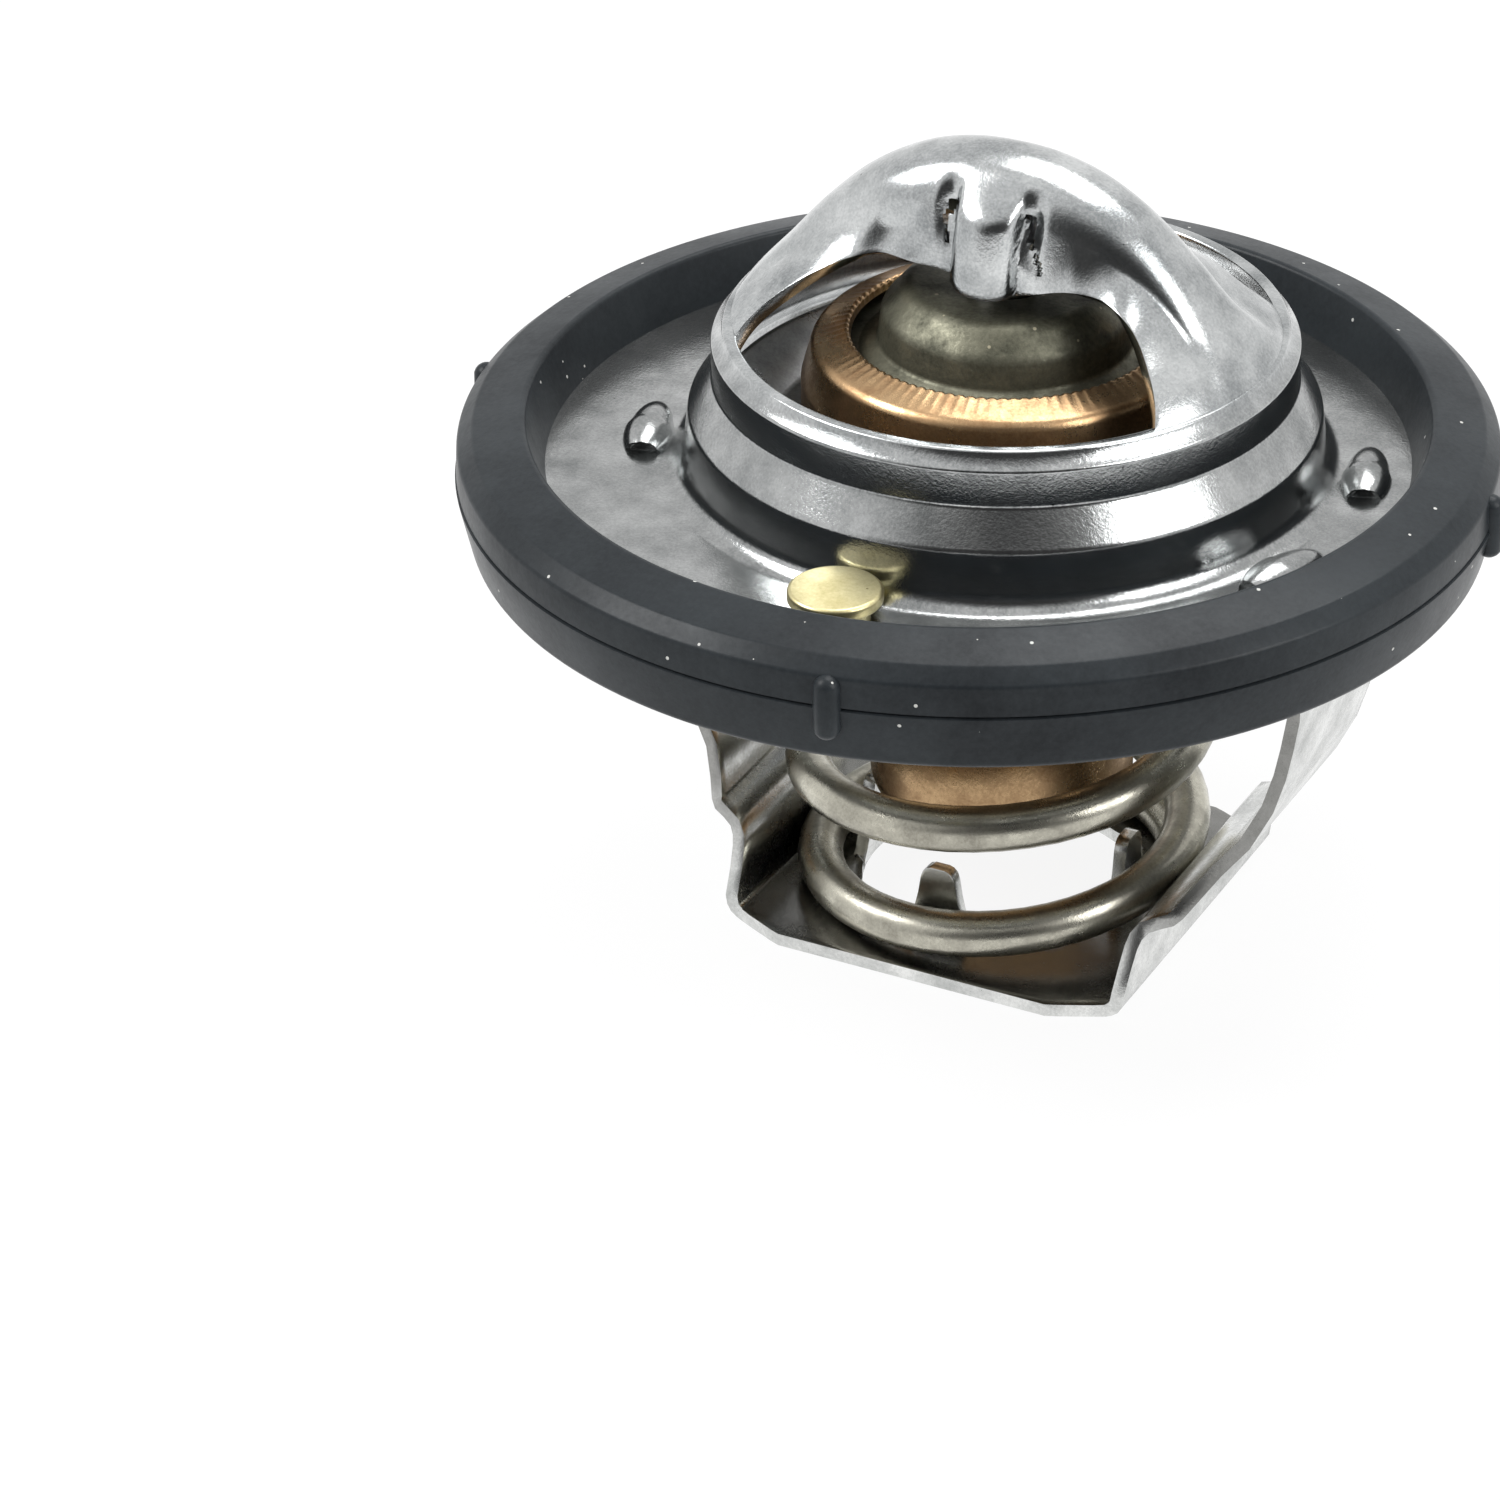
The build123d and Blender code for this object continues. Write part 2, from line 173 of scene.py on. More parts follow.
def turn_outline(name, outline, centre=VALVE_CENTRE, sides=160, closed=True):
    """Walk a circle along an outline of (radius, height) points, in mm, and return the piece."""
    radius, height = outline[0]
    at = (centre[0] * MM, centre[1] * MM, height * MM)
    bpy.ops.object.select_all(action="DESELECT")
    bpy.ops.mesh.primitive_circle_add(vertices=sides, radius=radius * MM, location=at)
    piece = bpy.context.object
    piece.name = name
    bpy.ops.object.mode_set(mode="EDIT")
    bpy.ops.mesh.select_all(action="SELECT")
    hub = (at[0], at[1], 0)
    for (r0, z0), (r1, z1) in zip(outline, outline[1:]):
        bpy.ops.mesh.extrude_edges_move(TRANSFORM_OT_translate={"value": (0, 0, (z1 - z0) * MM)})
        grow = max(r1, 1e-4) / r0
        bpy.ops.transform.resize(value=(grow, grow, 1), center_override=hub)
        if r1 < 1e-3:
            bpy.ops.mesh.merge(type="CENTER")
    if closed:
        bpy.ops.mesh.select_all(action="SELECT")
        bpy.ops.mesh.remove_doubles(threshold=1e-6)
    bpy.ops.mesh.select_all(action="SELECT")
    bpy.ops.mesh.normals_make_consistent(inside=False)
    bpy.ops.object.mode_set(mode="OBJECT")
    return piece


# %% [markdown]
# The rim is black moulded rubber. Its outline leans in at the bottom, carries a thin seam halfway
# up where the two halves of the mould met, and rises to a soft lip round its throat. It grips the
# flange's edge in a groove. A torus could be flattened into a rim, but a moulded ring has exactly
# one section all the way round, so turning its outline gives every edge of it at once.

# %% Rim seal
seal_outline = round_corners(
    [
        (25.95, 25.3),
        (30.2, 25.3),
        (30.97, 28.7),
        (31.0, 28.91),
        (30.74, 28.99),
        (30.9, 29.07),
        (30.93, 29.25),
        (30.85, 30.9),
        (29.9, 31.75),
        (26.8, 32.6),
        (25.65, FLANGE_TOP),
        (29.0, FLANGE_TOP),
        (29.0, FLANGE_BOTTOM),
        (25.65, FLANGE_BOTTOM),
    ],
    {0: 0.3, 1: 0.6, 7: 0.45, 8: 0.5, 9: 0.35},
)
rim = turn_outline("seal_ring", seal_outline, RIM_CENTRE, sides=240)


def sway_seam(inner_r=30.6, band=0.4):
    """Let the seam wander up and down a little, as the joint of a worn mould does."""
    bpy.ops.object.mode_set(mode="EDIT")
    mesh = bmesh.from_edit_mesh(rim.data)
    for vertex in mesh.verts:
        if vertex.co.xy.length > inner_r * MM and abs(vertex.co.z / MM - SEAM_Z) < band:
            ray = math.atan2(vertex.co.y, vertex.co.x)
            vertex.co.z += (0.06 * math.sin(7 * ray) + 0.04 * math.sin(19 * ray + 1)) * MM
    bmesh.update_edit_mesh(rim.data)
    bpy.ops.object.mode_set(mode="OBJECT")


sway_seam()
print("seam", SEAM_Z, "mm up")

# %% [markdown]
# Four little pills stand on the rim's outer wall and locate it. A pill is a ball drawn out at both
# ends and half sunk in the wall. One is made, and each of the four is a copy with its own mesh.

# %% Pills on the rim
PILL_R = 0.8
PILL_PLACE = (30.85 * MM, 0, SEAM_Z * MM)
PILL_STRETCH = 1.2         # how far each half of the ball is drawn up or down
PILL_ANGLES = (10, 100, 190, 280)
bpy.ops.object.select_all(action="DESELECT")
bpy.ops.mesh.primitive_uv_sphere_add(segments=20, ring_count=12, radius=PILL_R * MM, location=PILL_PLACE)
pill = bpy.context.object
bpy.ops.object.mode_set(mode="EDIT")
for side in (1, -1):
    pick(lambda p: side * p.z > 0.05)
    bpy.ops.transform.translate(value=(0, 0, side * PILL_STRETCH * MM))
bpy.ops.object.mode_set(mode="OBJECT")
bpy.ops.object.transform_apply(location=True)
join_into(rim, [copy_turned(pill, angle) for angle in PILL_ANGLES])
bpy.data.objects.remove(pill)
finish_piece(rim)
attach(rim, "housing")
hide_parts("rim_seal")

# %% [markdown]
# The upper stamping is one sheet drawn up through a collar and a neck to a narrow lip. The flat
# disc at its foot runs out under the rubber. A single skin with Solidify would do for a plain
# collar. Here both faces are turned as one closed outline, so that each bend has its own radius
# inside and outside, as drawn sheet has.

# %% Flange, collar and neck
collar_outline = round_corners(
    [
        (28.9, FLANGE_TOP),
        (19.0, FLANGE_TOP),
        (18.88, 31.6),
        (18.7, 33.1),
        (17.25, 35.2),
        (17.28, 37.45),
        (16.7, 38.0),
        (16.55, 38.45),
        (15.8, 38.45),
        (15.9, 37.8),
        (16.45, 37.0),
        (16.45, 34.8),
        (18.05, 32.6),
        (18.05, FLANGE_BOTTOM),
        (28.9, FLANGE_BOTTOM),
    ],
    {1: 1.3, 3: 0.8, 4: 0.5, 5: 0.3, 7: 0.2, 8: 0.2, 10: 0.4, 12: 0.6, 13: 1.6},
)
collar = turn_outline("upper_stamping", collar_outline, sides=240)
UNDER_RUBBER_R = 26.0
bpy.ops.object.mode_set(mode="EDIT")
print("flange edge vertices moved to the rim's centre", pick(lambda p: math.hypot(p.x, p.y) > UNDER_RUBBER_R))
bpy.ops.transform.translate(value=(-AXIS_X * MM, 0, 0))
bpy.ops.object.mode_set(mode="OBJECT")

# %% [markdown]
# The bridge is a strap of the same sheet whose long edges are turned down. It could be bent from a
# box, but its section changes all the way: narrow at the top, wide and flat at the feet. So a flat
# grid is laid across it. One way the grid follows the arch from foot to foot, the other way it
# follows the strap's section. Every row is dragged to its station, and between stations the sizes
# run smoothly.

# %% Stations along the bridge
# Distance along X, height, tilt in degrees; half width of the crown and how far it has fallen
# there, on the left and on the right half; half width of the turned-down edge and its depth, left
# and right; and how strongly the edge is turned down.
BRIDGE_STATIONS = [
    (0.0, 49.6, 0, 3.2, 2.1, 2.1, 4.2, 7.1, 7.1, 1.0),
    (3.0, 49.35, 9.5, 3.3, 2.1, 2.3, 4.2, 6.35, 7.05, 1.0),
    (6.0, 48.4, 23, 3.3, 1.9, 2.3, 4.2, 5.65, 6.2, 1.0),
    (9.0, 46.6, 36, 3.0, 1.6, 1.8, 4.4, 4.1, 3.9, 1.0),
    (11.6, 44.15, 45, 2.8, 1.3, 1.2, 5.2, 3.0, 2.15, 1.0),
    (13.8, 41.6, 49, 3.2, 1.0, 1.0, 6.8, 2.4, 2.1, 0.85),
    (15.5, 39.7, 56, 4.6, 1.0, 1.0, 8.7, 2.7, 2.6, 0.4),
    (16.4, 38.4, 72, 7.0, 1.6, 1.6, 9.7, 3.1, 3.1, 0.08),
    (16.72, 37.1, 86, 7.0, 1.6, 1.6, 10.1, 3.4, 3.4, 0.0),
]
CROWN_R = 16.7             # radius of the section where the strap runs into the round lip


def smooth_between(table, place):
    """Catmull-Rom between the rows of a table; place is a row number with a fraction."""
    last = len(table) - 1
    low = min(int(place), last - 1)
    t = place - low
    rows = []                  # the arch is mirrored at its top, so X and tilt change sign there
    for step in (-1, 0, 1, 2):
        index = low + step
        if index < 0:
            mirrored = table[-index]
            rows.append((-mirrored[0], mirrored[1], -mirrored[2]) + tuple(mirrored[3:]))
        elif index > last:
            rows.append(tuple(2 * a - b for a, b in zip(table[last], table[last - 1])))
        else:
            rows.append(table[index])
    values = []
    for a, b, c, d in zip(*rows):
        bend = (2 * a - 5 * b + 4 * c - d) * t * t + (3 * b - a - 3 * c + d) * t**3
        values.append(0.5 * (2 * b + (c - a) * t + bend))
    return values


print("bridge from", BRIDGE_STATIONS[-1][1], "to", BRIDGE_STATIONS[0][1], "mm")

# %% [markdown]
# In the middle both edges are pinched in round the piston's head, so the section swells to a rib
# there, with a soft hollow on each side. The press has torn the sheet beside the rib. A cut made
# with a Boolean would leave clean walls, so the torn faces are simply taken out of the fine grid,
# and the gauge that is added later gives the tears their thickness.

# %% Rib, hollows and tears
RIB_HALF = 2.0             # half width of the pinched rib that holds the piston
RIB_REACH = 1.5            # how far it stands off the turned-down edge
RIB_X = 0.5                # the pinch sits a little to the right of the middle
RIB_TOP = 0.8              # depth where the rib starts, and over how much more it grows
RIB_GROWTH = 2.2

# Hollows in the turned-down edges: X and its half width, depth and its half width, and how deep.
HOLLOWS = [
    (RIB_X - 2.5, 0.9, 2.6, 2.2, 0.4),
    (RIB_X + 2.6, 1.0, 2.8, 2.4, 0.5),
    (-5.6, 2.2, 3.6, 1.8, 0.35),
    (8.2, 2.4, 3.4, 1.8, 0.35),
]

# Foot and head of each tear, (X, Z) from the valve axis, and its half width at the head.
TEARS = [(-2.1, 44.6, -2.1, 47.2, 0.4), (3.9, 43.7, 2.7, 47.2, 0.42)]
TEAR_FRONT_Y = 2.2         # tears lie only in the turned-down edges, further out than this
TEAR_FOOT = 0.3            # how wide a tear is at its foot, as a share of its head
TEAR_SWAY = 0.18           # how far it wanders to each side


def blend(start, end, share):
    """The value that lies a share of the way from start to end."""
    return start + (end - start) * share


print("hollows", len(HOLLOWS), "tears", len(TEARS))


# %% Section of the bridge
CROWN_SHARE = 0.42         # share of the section's half width that belongs to the crown
CROWN_PULL = 0.76          # middle control point of the crown's curve, as a share of its half width
EDGE_PULL = (0.58, 0.42)   # the same of the turned-down edge, as shares of its width and its depth


def section_point(share, crown_y, crown_fall, edge_y, edge_depth, turned):
    """Point (y, depth) of the strap's section; share runs from -1 to 1, edge to edge."""
    side = 1 if share >= 0 else -1
    s = abs(share)
    if s <= CROWN_SHARE:
        t = s / CROWN_SHARE
        start, mid, end = (0.0, 0.0), (CROWN_PULL * crown_y, 0.0), (crown_y, crown_fall)
    else:
        t = (s - CROWN_SHARE) / (1 - CROWN_SHARE)
        start, end = (crown_y, crown_fall), (edge_y, edge_depth)
        mid = (blend(crown_y, edge_y, EDGE_PULL[0]), blend(crown_fall, edge_depth, EDGE_PULL[1]))
    y, depth = ((1 - t) ** 2 * a + 2 * t * (1 - t) * b + t * t * c for a, b, c in zip(start, mid, end))
    arc_y = edge_y * s
    arc_sag = CROWN_R - math.sqrt(CROWN_R**2 - arc_y**2)
    return side * blend(arc_y, y, turned), blend(arc_sag, depth, turned)


def hump(value, centre, half_width):
    """A smooth bump of height 1 at the centre and 0 outside the half width."""
    share = min(abs(value - centre) / half_width, 1.0)
    return (1 - share * share) ** 2


def bridge_point(along, share):
    """Place, in mm from the valve axis, of a grid point on the bridge's outer skin."""
    side = 1 if along >= 0 else -1
    values = smooth_between(BRIDGE_STATIONS, abs(along) * (len(BRIDGE_STATIONS) - 1))
    x, z, tilt, crown_y, left_fall, right_fall, edge_y, left_depth, right_depth, turned = values
    crown_fall, edge_depth = (right_fall, right_depth) if side > 0 else (left_fall, left_depth)
    turned = max(0.0, min(1.0, turned))
    y, depth = section_point(share, crown_y, crown_fall, edge_y, edge_depth, turned)
    slope = math.radians(tilt)
    px = side * (x - depth * math.sin(slope))
    pz = z - depth * math.cos(slope)
    out = 1 if y > 0 else -1
    below = max(0.0, min(1.0, (depth - RIB_TOP) / RIB_GROWTH))
    below = below * below * (3 - 2 * below)
    from_rib = abs(px - RIB_X) / RIB_HALF
    if from_rib < 1:
        y += out * RIB_REACH * below * math.sqrt(1 - from_rib**2)
    for hollow_x, half_x, hollow_depth, half_depth, push in HOLLOWS:
        y -= out * push * hump(px, hollow_x, half_x) * hump(depth, hollow_depth, half_depth)
    return Vector((px + AXIS_X, y, pz))


def in_tear(p):
    """Whether a point lies in one of the jagged tears beside the rib."""
    if abs(p.y) < TEAR_FRONT_Y:
        return False
    x = p.x - AXIS_X
    for foot_x, foot_z, head_x, head_z, width in TEARS:
        share = (p.z - foot_z) / (head_z - foot_z)
        if 0 < share < 1:
            middle = blend(foot_x, head_x, share) + TEAR_SWAY * math.sin(9 * share)
            if abs(x - middle) < width * blend(TEAR_FOOT, 1.0, share**4):
                return True
    return False


# %% Bridge
def round_edges(piece, width, sharper_than):
    """Break the edges of a piece that turn more sharply than an angle in degrees."""
    bevel = piece.modifiers.new("edge round", "BEVEL")
    bevel.width = width * MM
    bevel.segments = 2
    bevel.limit_method = "ANGLE"
    bevel.angle_limit = math.radians(sharper_than)


def give_gauge(piece, sharper_than, edge_round=0.12):
    """Turn a skin into sheet of the shared gauge with slightly rounded edges."""
    gauge = piece.modifiers.new("gauge", "SOLIDIFY")
    gauge.thickness = SHEET * MM
    gauge.offset = -1
    gauge.use_even_offset = True
    round_edges(piece, edge_round, sharper_than)


ACROSS = 49                # grid points across the strap
ALONG = 241                # grid points along it
bpy.ops.object.select_all(action="DESELECT")
bpy.ops.mesh.primitive_grid_add(x_subdivisions=ALONG - 1, y_subdivisions=ACROSS - 1, size=2)
bridge = bpy.context.object
bridge.name = "bridge_skin"
bpy.ops.object.mode_set(mode="EDIT")
grid = bmesh.from_edit_mesh(bridge.data)
for vertex in grid.verts:
    vertex.co = bridge_point(vertex.co.x, vertex.co.y) * MM
grid.normal_update()
bmesh.update_edit_mesh(bridge.data)
print("torn faces", pick(in_tear, "FACE"))
bpy.ops.mesh.delete(type="FACE")
bpy.ops.object.mode_set(mode="OBJECT")
give_gauge(bridge, 60)
apply_modifiers(bridge)

# %% [markdown]
# Four lances hold the spring frame: at each one the flange is sheared and pushed up over the foot
# of a leg. A lance is a small blister, open where the shear has cut it. It could be pushed out of
# the flange's own mesh, but a blister that only touches the flange needs no finer mesh under it.
# One is made from a ball, flattened, drawn out and cut off, and then copied round the axis.

# %% Lances
LANCE_BALL_R = 1.5
LANCE_R = 21.4             # distance from the valve axis
LANCE_ANGLES = (-18, 18, 162, 198)
BLISTER = (1.0, 2.0, 0.86)   # the ball is drawn out along Y and flattened
TAIL = (0.9, 1.25, 0.95)   # and its rear half once more
SHEAR_Y = -2.1             # the cut faces the front, and leans
SHEAR_NORMAL = (0, 1, 0.4)
MOUTH_WALL = 0.22
MOUTH_DEPTH = 0.12
bpy.ops.object.select_all(action="DESELECT")
bpy.ops.mesh.primitive_uv_sphere_add(segments=28, ring_count=16, radius=LANCE_BALL_R * MM)
lance = bpy.context.object
bpy.ops.object.mode_set(mode="EDIT")
bpy.ops.mesh.select_all(action="SELECT")
bpy.ops.transform.resize(value=BLISTER, center_override=(0, 0, 0))
pick(lambda p: p.y > 0.05)
bpy.ops.transform.resize(value=TAIL, center_override=(0, 0, 0))
bpy.ops.mesh.select_all(action="SELECT")
bpy.ops.mesh.bisect(
    plane_co=(0, SHEAR_Y * MM, 0), plane_no=SHEAR_NORMAL, clear_inner=True, clear_outer=False, use_fill=True
)
bpy.ops.mesh.inset(thickness=MOUTH_WALL * MM)
bpy.ops.transform.translate(value=(0, MOUTH_DEPTH * MM, 0))
bpy.ops.object.mode_set(mode="OBJECT")


def place_lance(angle):
    """A copy of the lance on the flange, turned so that its cut still faces the front."""
    ray = math.radians(angle)
    place = (AXIS_X + LANCE_R * math.cos(ray), LANCE_R * math.sin(ray), FLANGE_TOP)
    return copy_turned(lance, angle if abs(angle) < 90 else angle - 180, place)


join_into(collar, [place_lance(angle) for angle in LANCE_ANGLES] + [bridge])
bpy.data.objects.remove(lance)
finish_piece(collar, 40)
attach(collar, "housing")
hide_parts("upper_bridge")

# %% [markdown]
# The vent pin is a loose brass rivet: a flat head, a shoulder that rests on the flange, a thin
# shank and a ball that closes the hole from below. Stacked cylinders would show seams between
# them. The pin is one turned part, so one outline makes it.

# %% Vent pin
PIN_CENTRE = (AXIS_X - 0.26, -21.7)
PIN_SEAT = FLANGE_TOP + 0.02
pin_outline = round_corners(
    [
        (TIP, 31.3), (2.75, 31.3), (2.75, 30.5), (2.0, 30.45), (2.0, PIN_SEAT), (1.1, PIN_SEAT), (1.1, 26.7),
        (1.9, 25.6), (1.9, 24.6), (1.2, 23.4), (TIP, 23.1),
    ],
    {1: 0.25, 2: 0.2, 3: 0.1, 7: 0.5, 8: 0.6, 9: 0.8},
)
pin = turn_outline("vent_pin", pin_outline, PIN_CENTRE, sides=64, closed=False)
finish_piece(pin)
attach(pin, "vent_pin")
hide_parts("jiggle_pin")

# %% [markdown]
# The valve itself is a dished plate that closes the collar from below, with the spring under it. It
# could be a disc with a modifier for its gauge, but its bent rim has another radius on each face.
# So it is turned as one closed outline, as the other round pieces are.

# %% Valve plate
plate_outline = round_corners(
    [
        (8.1, PLATE_Z), (14.2, PLATE_Z), (17.3, 32.3), (17.3, 32.9), (16.8, 32.9), (13.9, PLATE_Z + SHEET),
        (8.1, PLATE_Z + SHEET),
    ],
    {1: 0.8, 2: 0.25, 3: 0.2, 5: 0.8},
)
plate = turn_outline("valve_disc", plate_outline, sides=200)
finish_piece(plate)
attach(plate, "valve_element")
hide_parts("valve_plate")

# %% [markdown]
# The wax sits in a drawn copper cup. Its wide mouth has been crimped over the foot of the guide,
# and the crimp has left a row of tiny teeth on the rim. As separate bodies the teeth would be
# heavy. They are pressed into the turned mesh, by moving every third vertex of the rim.

# %% Wax case
case_outline = round_corners(
    [
        (TIP, 6.4), (8.0, 6.4), (8.0, 30.6), (8.3, 31.2), (12.0, 31.2), (12.0, 35.0), (11.35, 37.4), (9.15, 38.2),
        (9.05, 37.6), (10.7, 36.9), (11.1, 34.8), (11.1, 32.2), (7.1, 32.2), (7.1, 7.3), (TIP, 7.3),
    ],
    {1: 2.4, 2: 0.5, 4: 0.6, 5: 0.8, 6: 0.9, 7: 0.25, 13: 1.5},
    steps=7,
)
CASE_SIDES = 288
CRIMP_BAND = (9.05, 9.45)  # radii between which the mouth's rim lies
CRIMP_Z = 37.9
TOOTH_SPREAD = 1.007
TOOTH_SINK = 0.07
case = turn_outline("copper_case", case_outline, sides=CASE_SIDES, closed=False)
bpy.ops.object.transform_apply(location=True)
bpy.ops.object.mode_set(mode="EDIT")


def on_tooth(p):
    """Whether a vertex of the mouth's rim lies between two teeth: every third one does."""
    reach = math.hypot(p.x - AXIS_X, p.y)
    if not (CRIMP_BAND[0] < reach < CRIMP_BAND[1] and p.z > CRIMP_Z):
        return False
    return round(math.atan2(p.y, p.x - AXIS_X) / math.tau * CASE_SIDES) % 3 == 0


print("crimp tooth vertices", pick(on_tooth))
bpy.ops.transform.resize(value=(TOOTH_SPREAD, TOOTH_SPREAD, 1), center_override=VALVE_HUB)
bpy.ops.transform.translate(value=(0, 0, -TOOTH_SINK * MM))
bpy.ops.object.mode_set(mode="OBJECT")
finish_piece(case, 50)
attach(case, "valve_element")
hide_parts("wax_case")

# %% [markdown]
# The guide is a thick dome that closes the case and leads the piston. Half a ball would have neither
# its foot nor its short straight wall. Its outline has both, and starts and ends at the bore.

# %% Element guide
guide_outline = round_corners(
    [
        (2.35, 33.4), (11.0, 33.4), (11.0, 34.8), (10.4, 36.8), (8.6, 36.9), (7.5, 37.5), (7.3, 39.4), (5.9, 41.0),
        (2.35, 41.0),
    ],
    {4: 0.3, 5: 0.4, 6: 1.1, 7: 1.3, 8: 0.2},
    steps=8,
)
guide = turn_outline("guide_dome", guide_outline, sides=200)
finish_piece(guide, 50)
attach(guide, "valve_element")
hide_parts("element_guide")

# %% [markdown]
# The piston is a ground steel pin. Its head rests in the rib of the bridge and its foot deep in the
# case, which slides down along it. A cylinder would be nearly right, but turned it gets a small
# round at its head and a longer one at its foot.

# %% Piston
PISTON_R = 2.3
PISTON_TOP = 47.6
PISTON_BOTTOM = 15.0
piston_outline = round_corners(
    [(TIP, PISTON_TOP), (PISTON_R, PISTON_TOP), (PISTON_R, PISTON_BOTTOM), (TIP, PISTON_BOTTOM)], {1: 0.3, 2: 0.8}
)
piston = turn_outline("piston_rod", piston_outline, sides=96, closed=False)
finish_piece(piston)
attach(piston, "housing")
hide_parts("piston")

# %% [markdown]
# The main spring is round wire with a nearly closed turn at each end. A ring of points, the wire's
# section, is carried round the axis step by step: extrude, rotate, lift. The lift per step sets
# the pitch, so it is small in the end turns and even between them. A Screw modifier is quicker,
# but it has one pitch and one radius, and a real spring's ends have neither.

# %% Main spring
WIRE_R = 1.4
COIL_R = 11.8
END_COIL_R = 11.1
TURNS = 4.75
STEPS_PER_TURN = 48
CLOSED_TURN = 0.5          # of each end, laid flat
SETTLE = 0.3               # share of a turn over which the pitch grows from nothing
WIDEN_FROM = 0.6           # turn at which the tighter lower end begins to widen
WIDEN_OVER = 0.9           # turns that this takes
START_ANGLE = 18           # where the wire ends, round the axis
PLAY = 0.03                # between the wire and what it bears on
LOW_Z = SHEET + WIRE_R + PLAY
HIGH_Z = PLATE_Z - WIRE_R - PLAY


def wire_height(turn):
    """Height of the wire's centre after a number of turns."""
    span = TURNS - 2 * CLOSED_TURN
    share = min(max((turn - CLOSED_TURN) / span, 0.0), 1.0)
    knee = SETTLE / span
    if share < knee:
        share = share**2 / (2 * knee * (1 - knee))
    elif share > 1 - knee:
        share = 1 - (1 - share) ** 2 / (2 * knee * (1 - knee))
    else:
        share = (share - knee / 2) / (1 - knee)
    return blend(LOW_Z, HIGH_Z, share)


def coil_radius(turn):
    """Radius of the coil after a number of turns: its lower end is wound a little tighter."""
    share = min(max((turn - WIDEN_FROM) / WIDEN_OVER, 0.0), 1.0)
    return blend(END_COIL_R, COIL_R, 3 * share**2 - 2 * share**3)


def turn_selected(degrees, hub):
    """Turn what is selected in edit mode anticlockwise about an upright line."""
    bpy.ops.transform.rotate(
        value=-math.radians(degrees), orient_axis="Z", center_override=hub, orient_type="GLOBAL"
    )


print("wire centre from", wire_height(0), "to", wire_height(TURNS), "mm")

# %% Winding the spring
bpy.ops.object.select_all(action="DESELECT")
start_at = ((AXIS_X + END_COIL_R) * MM, 0, LOW_Z * MM)
bpy.ops.mesh.primitive_circle_add(
    vertices=20, radius=WIRE_R * MM, fill_type="NGON", location=start_at, rotation=(math.radians(90), 0, 0)
)
spring = bpy.context.object
spring.name = "coil_spring"
bpy.ops.object.mode_set(mode="EDIT")
bpy.ops.mesh.select_all(action="SELECT")
turn_selected(START_ANGLE, VALVE_HUB)
for step in range(int(TURNS * STEPS_PER_TURN)):
    before, after = step / STEPS_PER_TURN, (step + 1) / STEPS_PER_TURN
    rise = wire_height(after) - wire_height(before)
    grow = coil_radius(after) - coil_radius(before)
    ray = math.radians(START_ANGLE + 360 * before)
    move = (grow * math.cos(ray) * MM, grow * math.sin(ray) * MM, rise * MM)
    bpy.ops.mesh.extrude_region_move(TRANSFORM_OT_translate={"value": move})
    turn_selected(360 / STEPS_PER_TURN, VALVE_HUB)
bpy.ops.mesh.select_all(action="SELECT")
bpy.ops.mesh.normals_make_consistent(inside=False)
bpy.ops.object.mode_set(mode="OBJECT")
round_edges(spring, 0.2, 60)
finish_piece(spring, 50)
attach(spring, "housing")
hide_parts("main_spring")
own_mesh(spring)

# %% [markdown]
# The lower frame is one strip of sheet: a base with a round hole and four upright tabs, and two
# legs that climb to the flange. A base could be a plane with a Boolean hole, but then no edge would
# be ready for the tabs. So the base starts as the ring of the hole, and that ring is pulled out to
# the outline of the base.

# %% Base of the lower frame
HOLE_SIDES = 144
HOLE_R = 8.5
HOLE_LOBE = 0.75           # how far the hole reaches out on each diagonal
BASE_X = 12.2              # half lengths of the base's edges, and of the two corners cut off between
BASE_Y = 12.7
CUT_X = 9.0
CUT_Y = 11.2


def hole_reach(angle):
    """Radius of the hole's edge: round, with a shallow lobe on each diagonal."""
    return HOLE_R + HOLE_LOBE * max(0.0, math.cos(4 * angle + math.pi)) ** 6


def base_reach(angle):
    """Distance from the axis to the base's outline in a given direction."""
    c, s = abs(math.cos(angle)), abs(math.sin(angle))
    to_sides = min(BASE_X / max(c, 1e-9), BASE_Y / max(s, 1e-9))
    across_x, across_y = BASE_Y - CUT_Y, BASE_X - CUT_X   # square to the cut corner
    to_cut = (across_x * CUT_X + across_y * BASE_Y) / (across_x * c + across_y * s)
    return min(to_sides, to_cut)


bpy.ops.object.select_all(action="DESELECT")
bpy.ops.mesh.primitive_circle_add(vertices=HOLE_SIDES, radius=HOLE_R * MM, location=VALVE_HUB)
strip = bpy.context.object
strip.name = "frame_strip"
bpy.ops.object.transform_apply(location=True)
bpy.ops.object.mode_set(mode="EDIT")
bpy.ops.mesh.select_all(action="SELECT")


def reshape_selected(reach):
    """Drag each selected vertex along its own ray to the reach asked for."""
    mesh = bmesh.from_edit_mesh(bpy.context.edit_object.data)
    for vertex in mesh.verts:
        if vertex.select:
            angle = math.atan2(vertex.co.y, vertex.co.x - AXIS_X * MM)
            vertex.co.x = (AXIS_X + reach(angle) * math.cos(angle)) * MM
            vertex.co.y = reach(angle) * math.sin(angle) * MM
    bmesh.update_edit_mesh(bpy.context.edit_object.data)


reshape_selected(hole_reach)
for share in (0.12, 0.5, 0.9, 1.0):
    bpy.ops.mesh.extrude_edges_move()
    reshape_selected(lambda a: blend(hole_reach(a), base_reach(a), share))
print("base", 2 * BASE_X, "by", 2 * BASE_Y, "mm")

